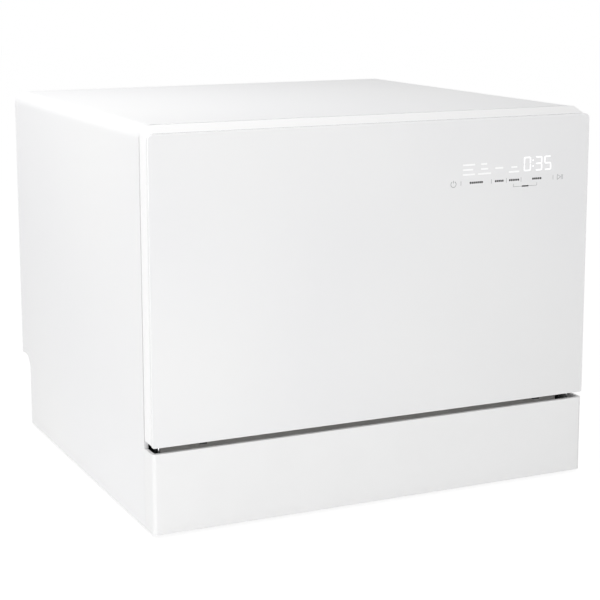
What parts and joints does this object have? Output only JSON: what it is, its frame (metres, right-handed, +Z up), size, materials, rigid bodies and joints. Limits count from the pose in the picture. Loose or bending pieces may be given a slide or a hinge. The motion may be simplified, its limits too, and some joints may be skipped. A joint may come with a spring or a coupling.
{
  "type": "countertop dishwasher",
  "caption": "White countertop dishwasher with a drop-down door, a roll-out wire rack, a stainless tub with spray arm and a closed plinth.",
  "frame": {"origin": "middle of the footprint, on the worktop under the feet", "axes": "-Y is the front with the door, +X is the right-hand side seen from the front, +Z is up"},
  "size_m": [0.55, 0.515, 0.446],
  "materials": {
    "white_enamel": "smooth white enamel on steel sheet",
    "white_plastic": "smooth white moulding",
    "front_white": "glossy white front plate",
    "zinc_sheet": "plain zinc-coated sheet",
    "stainless": "brushed stainless steel sheet",
    "hinge_steel": "dark coated steel",
    "bright_steel": "bright turned steel",
    "dark_plastic": "matt dark moulding",
    "grey_plastic": "matt mid-grey moulding",
    "light_plastic": "matt light grey moulding",
    "blue_plastic": "matt blue-grey moulding",
    "black_rubber": "matt black rubber",
    "seal_rubber": "soft grey rubber",
    "bitumen": "matt bitumen mat",
    "wire_coat": "light grey nylon-coated wire",
    "brass": "turned brass",
    "board": "green circuit board"
  },
  "bodies": {
    "cabinet": {"cabinet_wrap": "white_enamel", "rear_panel": "zinc_sheet", "rear_screws": "bright_steel", "base_tray": "dark_plastic", "plinth_panel": "white_plastic", "feet": "black_rubber", "front_crossbar": "zinc_sheet", "tub_wrap": "stainless", "tub_back": "stainless", "tub_floor": "stainless", "tub_front_frame": "stainless", "tub_sill": "stainless", "door_seal": "seal_rubber", "rack_rails": "light_plastic", "rail_guides": "light_plastic", "sound_mat": "bitumen", "hinge_bracket_left": "hinge_steel", "hinge_bracket_right": "hinge_steel", "hinge_springs": "bright_steel", "latch_housing": "light_plastic", "sump": "dark_plastic", "flat_filter": "stainless", "spray_column": "grey_plastic", "spray_nut": "dark_plastic", "wash_pump": "grey_plastic", "drain_pump": "grey_plastic", "flow_heater": "bright_steel", "inlet_valve": "light_plastic", "water_inlet": "brass", "drain_spigot": "dark_plastic", "cord_gland": "black_rubber"},
    "door": {"door_plate": "front_white", "door_frame": "white_plastic", "door_liner": "stainless", "door_hinge_left": "zinc_sheet", "door_hinge_right": "zinc_sheet", "hinge_pins": "bright_steel", "door_striker": "bright_steel", "control_board": "board", "detergent_dispenser": "light_plastic"},
    "rack": {"rack_floor": "wire_coat", "rack_front": "wire_coat", "rack_back": "wire_coat", "rack_left": "wire_coat", "rack_right": "wire_coat", "plate_tines": "wire_coat", "wheel_brackets": "light_plastic"},
    "front_left_wheel": {"wheel_front_left": "grey_plastic"},
    "front_right_wheel": {"wheel_front_right": "grey_plastic"},
    "back_left_wheel": {"wheel_back_left": "grey_plastic"},
    "back_right_wheel": {"wheel_back_right": "grey_plastic"},
    "shelf": {"cup_shelf": "grey_plastic"},
    "basket": {"cutlery_basket": "grey_plastic"},
    "arm": {"spray_arm": "grey_plastic"},
    "filter": {"filter_cup": "grey_plastic"},
    "float": {"float_cup": "light_plastic"},
    "lid": {"dispenser_lid": "light_plastic"},
    "button": {"lid_button": "grey_plastic"},
    "cap": {"rinse_cap": "blue_plastic"},
    "bolt": {"latch_bolt": "bright_steel"}
  },
  "joints": [
    {"name": "door_hinge", "type": "hinge", "parent": "cabinet", "child": "door", "pos_m": [0, -0.2485, 0.1055], "axis": [1, 0, 0], "range_deg": [0, 90]},
    {"name": "rack_roll", "type": "slide", "parent": "cabinet", "child": "rack", "axis": [0, -1, 0], "range_m": [0, 0.15]},
    {"name": "shelf_fold", "type": "hinge", "parent": "rack", "child": "shelf", "pos_m": [-0.2115, -0.02, 0.2384], "axis": [0, -1, 0], "range_deg": [0, 90]},
    {"name": "basket_lift", "type": "slide", "parent": "rack", "child": "basket", "axis": [0, 0, 1], "range_m": [0, 0.09]},
    {"name": "arm_spin", "type": "hinge", "parent": "cabinet", "child": "arm", "pos_m": [0, -0.005, 0.137], "axis": [0, 0, 1], "continuous": true},
    {"name": "filter_twist", "type": "hinge", "parent": "cabinet", "child": "filter", "pos_m": [0.074, -0.005, 0.09], "axis": [0, 0, 1], "range_deg": [0, 90]},
    {"name": "float_rise", "type": "slide", "parent": "cabinet", "child": "float", "axis": [0, 0, 1], "range_m": [0, 0.008]},
    {"name": "lid_slide", "type": "slide", "parent": "door", "child": "lid", "axis": [1, 0, 0], "range_m": [0, 0.068]},
    {"name": "button_press", "type": "slide", "parent": "door", "child": "button", "axis": [0, -1, 0], "range_m": [0, 0.0025], "stiffness_N_per_m": 400},
    {"name": "cap_turn", "type": "hinge", "parent": "door", "child": "cap", "pos_m": [0.132, -0.235, 0.288], "axis": [0, 1, 0], "range_deg": [0, 90]},
    {"name": "bolt_slide", "type": "slide", "parent": "cabinet", "child": "bolt", "axis": [-1, 0, 0], "range_m": [0, 0.007], "stiffness_N_per_m": 150},
    {"name": "front_left_roll", "type": "hinge", "parent": "rack", "child": "front_left_wheel", "pos_m": [-0.235, -0.0995, 0.139], "axis": [1, 0, 0], "continuous": true},
    {"name": "front_right_roll", "type": "hinge", "parent": "rack", "child": "front_right_wheel", "pos_m": [0.235, -0.0995, 0.139], "axis": [1, 0, 0], "continuous": true},
    {"name": "back_left_roll", "type": "hinge", "parent": "rack", "child": "back_left_wheel", "pos_m": [-0.235, 0.151, 0.139], "axis": [1, 0, 0], "continuous": true},
    {"name": "back_right_roll", "type": "hinge", "parent": "rack", "child": "back_right_wheel", "pos_m": [0.235, 0.151, 0.139], "axis": [1, 0, 0], "continuous": true}
  ],
  "couplings": [
    {"joint": "rack_roll", "follows": "door_hinge", "m_per_rad": 0.0954}
  ]
}
